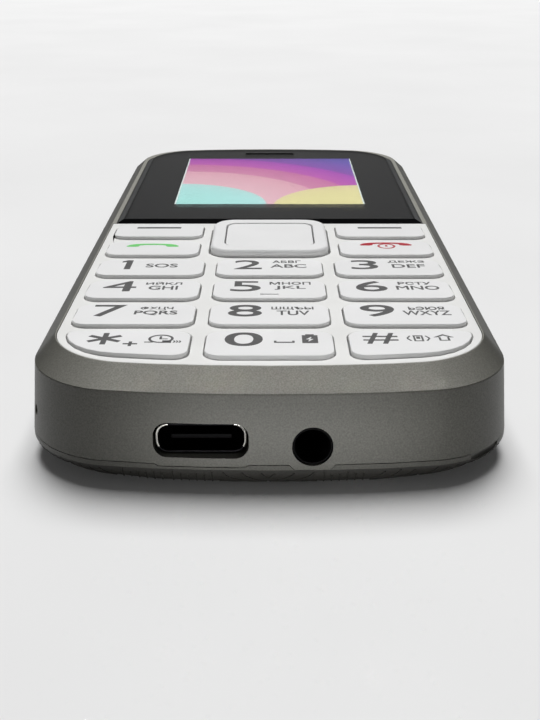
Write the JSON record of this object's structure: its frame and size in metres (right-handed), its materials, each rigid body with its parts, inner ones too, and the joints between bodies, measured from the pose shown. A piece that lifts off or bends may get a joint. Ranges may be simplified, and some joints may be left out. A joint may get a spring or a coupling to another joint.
{
  "type": "feature phone",
  "caption": "Candybar feature phone with white wedge keys, a square navigation ring and a tinted screen in a grey shell with a pry-off back.",
  "frame": {"origin": "on the flat of the back cover, under the middle of the phone", "axes": "+Z out of the screen, +Y towards the screen end, -Y the end with the sockets"},
  "size_m": [0.0508, 0.1176, 0.0134],
  "materials": {
    "grey_paint": "satin warm grey paint on moulded plastic",
    "grey_cover": "grey moulded plastic with fine moulded ribs",
    "white_plate": "white satin plastic",
    "white_key": "white satin plastic, printed",
    "tinted_lens": "smoke tinted clear plastic, polished",
    "black_tape": "adhesive tape",
    "steel_mesh": "fine woven mesh",
    "silicone": "translucent silicone",
    "dome_steel": "sprung steel",
    "green_board": "solder mask on laminate",
    "tinned_steel": "tinned sheet",
    "display_glass": "display glass",
    "display_frame": "white moulded frame",
    "flex_film": "amber film",
    "speaker_black": "black moulded plastic",
    "usb_steel": "nickel plated steel",
    "black_plastic": "black moulded plastic",
    "mic_metal": "drawn can",
    "black_rubber": "soft rubber",
    "chassis_plastic": "dark moulded plastic",
    "antenna_brass": "thin sheet",
    "battery_can": "wrapped cell",
    "contact_gold": "gold plated springs in a block",
    "screw_steel": "zinc plated steel"
  },
  "bodies": {
    "phone": {"front_housing": "grey_paint", "keypad_plate": "white_plate", "display_lens": "tinted_lens", "lens_tape": "black_tape", "earpiece_mesh": "steel_mesh", "key_mat": "silicone", "dome_switches": "dome_steel", "main_board": "green_board", "shield_can": "tinned_steel", "card_sockets": "tinned_steel", "lcd_panel": "display_glass", "lcd_backlight": "display_frame", "lcd_flex": "flex_film", "earpiece_speaker": "speaker_black", "usb_shell": "usb_steel", "usb_tongue": "black_plastic", "audio_jack": "black_plastic", "microphone": "mic_metal", "mic_boot": "black_rubber", "rear_chassis": "chassis_plastic", "loudspeaker": "speaker_black", "vibration_motor": "tinned_steel", "antenna": "antenna_brass", "battery": "battery_can", "battery_contacts": "contact_gold", "chassis_screws": "screw_steel"},
    "key_1": {"key_1": "white_key"},
    "key_2": {"key_2": "white_key"},
    "key_3": {"key_3": "white_key"},
    "key_4": {"key_4": "white_key"},
    "key_5": {"key_5": "white_key"},
    "key_6": {"key_6": "white_key"},
    "key_7": {"key_7": "white_key"},
    "key_8": {"key_8": "white_key"},
    "key_9": {"key_9": "white_key"},
    "key_star": {"key_star": "white_key"},
    "key_0": {"key_0": "white_key"},
    "key_hash": {"key_hash": "white_key"},
    "soft_key_left": {"soft_key_left": "white_key"},
    "soft_key_right": {"soft_key_right": "white_key"},
    "call_key": {"call_key": "white_key"},
    "end_key": {"end_key": "white_key"},
    "ok_key": {"ok_key": "white_key"},
    "nav_base": {"nav_base": "silicone"},
    "nav_ring": {"nav_ring": "white_key"},
    "battery_cover": {"battery_cover": "grey_cover"}
  },
  "joints": [
    {"name": "key_1_press", "type": "slide", "parent": "phone", "child": "key_1", "axis": [0, 0, -1], "range_m": [0, 0.0004], "stiffness_N_per_m": 3000},
    {"name": "key_2_press", "type": "slide", "parent": "phone", "child": "key_2", "axis": [0, 0, -1], "range_m": [0, 0.0004], "stiffness_N_per_m": 3000},
    {"name": "key_3_press", "type": "slide", "parent": "phone", "child": "key_3", "axis": [0, 0, -1], "range_m": [0, 0.0004], "stiffness_N_per_m": 3000},
    {"name": "key_4_press", "type": "slide", "parent": "phone", "child": "key_4", "axis": [0, 0, -1], "range_m": [0, 0.0004], "stiffness_N_per_m": 3000},
    {"name": "key_5_press", "type": "slide", "parent": "phone", "child": "key_5", "axis": [0, 0, -1], "range_m": [0, 0.0004], "stiffness_N_per_m": 3000},
    {"name": "key_6_press", "type": "slide", "parent": "phone", "child": "key_6", "axis": [0, 0, -1], "range_m": [0, 0.0004], "stiffness_N_per_m": 3000},
    {"name": "key_7_press", "type": "slide", "parent": "phone", "child": "key_7", "axis": [0, 0, -1], "range_m": [0, 0.0004], "stiffness_N_per_m": 3000},
    {"name": "key_8_press", "type": "slide", "parent": "phone", "child": "key_8", "axis": [0, 0, -1], "range_m": [0, 0.0004], "stiffness_N_per_m": 3000},
    {"name": "key_9_press", "type": "slide", "parent": "phone", "child": "key_9", "axis": [0, 0, -1], "range_m": [0, 0.0004], "stiffness_N_per_m": 3000},
    {"name": "key_star_press", "type": "slide", "parent": "phone", "child": "key_star", "axis": [0, 0, -1], "range_m": [0, 0.0004], "stiffness_N_per_m": 3000},
    {"name": "key_0_press", "type": "slide", "parent": "phone", "child": "key_0", "axis": [0, 0, -1], "range_m": [0, 0.0004], "stiffness_N_per_m": 3000},
    {"name": "key_hash_press", "type": "slide", "parent": "phone", "child": "key_hash", "axis": [0, 0, -1], "range_m": [0, 0.0004], "stiffness_N_per_m": 3000},
    {"name": "soft_key_left_press", "type": "slide", "parent": "phone", "child": "soft_key_left", "axis": [0, 0, -1], "range_m": [0, 0.0004], "stiffness_N_per_m": 3000},
    {"name": "soft_key_right_press", "type": "slide", "parent": "phone", "child": "soft_key_right", "axis": [0, 0, -1], "range_m": [0, 0.0004], "stiffness_N_per_m": 3000},
    {"name": "call_key_press", "type": "slide", "parent": "phone", "child": "call_key", "axis": [0, 0, -1], "range_m": [0, 0.0004], "stiffness_N_per_m": 3000},
    {"name": "end_key_press", "type": "slide", "parent": "phone", "child": "end_key", "axis": [0, 0, -1], "range_m": [0, 0.0004], "stiffness_N_per_m": 3000},
    {"name": "ok_key_press", "type": "slide", "parent": "phone", "child": "ok_key", "axis": [0, 0, -1], "range_m": [0, 0.0004], "stiffness_N_per_m": 3000},
    {"name": "nav_tip_up_down", "type": "hinge", "parent": "phone", "child": "nav_base", "pos_m": [0, -0.00967, 0.01052], "axis": [1, 0, 0], "range_deg": [-2.5, 2.5], "stiffness_Nm_per_rad": 0.15},
    {"name": "nav_tip_left_right", "type": "hinge", "parent": "nav_base", "child": "nav_ring", "pos_m": [0, -0.00967, 0.01052], "axis": [0, 1, 0], "range_deg": [-2.5, 2.5], "stiffness_Nm_per_rad": 0.15},
    {"name": "battery_cover_off", "type": "slide", "parent": "phone", "child": "battery_cover", "axis": [0, 0, -1], "range_m": [0, 0.02]}
  ]
}
